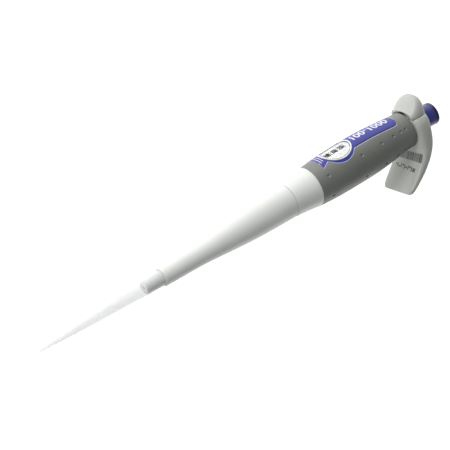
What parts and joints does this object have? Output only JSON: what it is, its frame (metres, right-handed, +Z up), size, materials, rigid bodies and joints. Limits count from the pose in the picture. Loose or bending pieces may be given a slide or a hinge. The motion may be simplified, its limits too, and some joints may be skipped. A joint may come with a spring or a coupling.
{
  "type": "adjustable micropipette",
  "caption": "Single-channel air-displacement pipette with a volume counter in a dark soft grip, finger hook, thumb ejector, plunger button and a long translucent tip.",
  "frame": {"origin": "bottom centre of the box of the pipette as it lies on its side on a bench", "axes": "+X along the pipette's axis towards the tip, -Y the side of the volume display and the thumb ejector, +Y the side of the finger hook, +Z up"},
  "size_m": [0.281, 0.0524, 0.0264],
  "materials": {
    "ivory_plastic": "satin moulded",
    "pale_grey_plastic": "satin moulded",
    "grip_elastomer": "soft matt",
    "blue_plastic": "glossy",
    "button_blue": "glossy",
    "white_plastic": "satin moulded",
    "clear_plastic": "polished clear",
    "tip_plastic": "translucent polypropylene",
    "black_plastic": "matt",
    "brass": "turned",
    "steel": "drawn",
    "spring_steel": "drawn wire",
    "seal_rubber": "moulded",
    "piston_plastic": "ground"
  },
  "bodies": {
    "handle": {"handle_core": "pale_grey_plastic", "lower_collar": "ivory_plastic", "soft_grip": "grip_elastomer", "blue_inlay": "blue_plastic", "display_bezel": "white_plastic", "display_window": "clear_plastic", "digit_mask": "white_plastic", "finger_hook": "pale_grey_plastic", "button_guide": "white_plastic", "volume_nut": "brass", "friction_ring": "seal_rubber", "nozzle_barrel": "ivory_plastic", "barrel_clip": "spring_steel", "piston_seal": "white_plastic", "seal_o_ring": "seal_rubber", "seal_retainer": "brass", "washer_clip": "spring_steel"},
    "volume_drive": {"drive_sleeve": "black_plastic", "tens_wheel": "white_plastic"},
    "hundreds": {"hundreds_wheel": "white_plastic"},
    "thousands": {"thousands_wheel": "white_plastic"},
    "screw": {"volume_screw": "steel"},
    "plunger": {"push_button": "button_blue", "button_insert": "button_blue", "plunger_rod": "steel", "piston": "piston_plastic", "spring_seat": "steel", "main_spring": "spring_steel"},
    "blowout_stop": {"blowout_washer": "steel", "blowout_spring": "spring_steel"},
    "ejector": {"ejector_button": "pale_grey_plastic", "ejector_yoke": "white_plastic", "ejector_rod": "steel", "ejector_tube": "white_plastic", "ejector_sleeve": "ivory_plastic", "ejector_spring": "spring_steel"},
    "tip": {"disposable_tip": "tip_plastic"}
  },
  "joints": [
    {"name": "volume_turn", "type": "hinge", "parent": "handle", "child": "volume_drive", "pos_m": [0, -0.0078, 0.0132], "axis": [1, 0, 0], "range_deg": [0, 3240.1]},
    {"name": "screw_travel", "type": "slide", "parent": "volume_drive", "child": "screw", "axis": [-1, 0, 0], "range_m": [0, 0.01413]},
    {"name": "hundreds_turn", "type": "hinge", "parent": "handle", "child": "hundreds", "pos_m": [0, -0.0078, 0.0132], "axis": [1, 0, 0], "range_deg": [0, 324.5]},
    {"name": "thousands_turn", "type": "hinge", "parent": "handle", "child": "thousands", "pos_m": [0, -0.0078, 0.0132], "axis": [1, 0, 0], "range_deg": [0, 32.9]},
    {"name": "plunger_press", "type": "slide", "parent": "screw", "child": "plunger", "axis": [1, 0, 0], "range_m": [0, 0.00507], "stiffness_N_per_m": 300, "springref_m": -0.004, "deforming": ["main_spring"]},
    {"name": "blowout_travel", "type": "slide", "parent": "handle", "child": "blowout_stop", "axis": [1, 0, 0], "range_m": [0, 0.00351], "deforming": ["blowout_spring"]},
    {"name": "ejector_press", "type": "slide", "parent": "handle", "child": "ejector", "axis": [1, 0, 0], "range_m": [0, 0.006], "stiffness_N_per_m": 250, "springref_m": -0.006, "deforming": ["ejector_spring"]},
    {"name": "tip_release", "type": "slide", "parent": "handle", "child": "tip", "axis": [1, 0, 0], "range_m": [0, 0.00601]}
  ],
  "couplings": [
    {"joint": "volume_turn", "follows": "screw_travel", "rad_per_m": 4002},
    {"joint": "hundreds_turn", "follows": "screw_travel", "rad_per_m": 400.2},
    {"joint": "thousands_turn", "follows": "screw_travel", "rad_per_m": 40.02},
    {"joint": "blowout_travel", "follows": "plunger_press", "ratio": 0.69034},
    {"joint": "tip_release", "follows": "ejector_press", "ratio": 1}
  ]
}
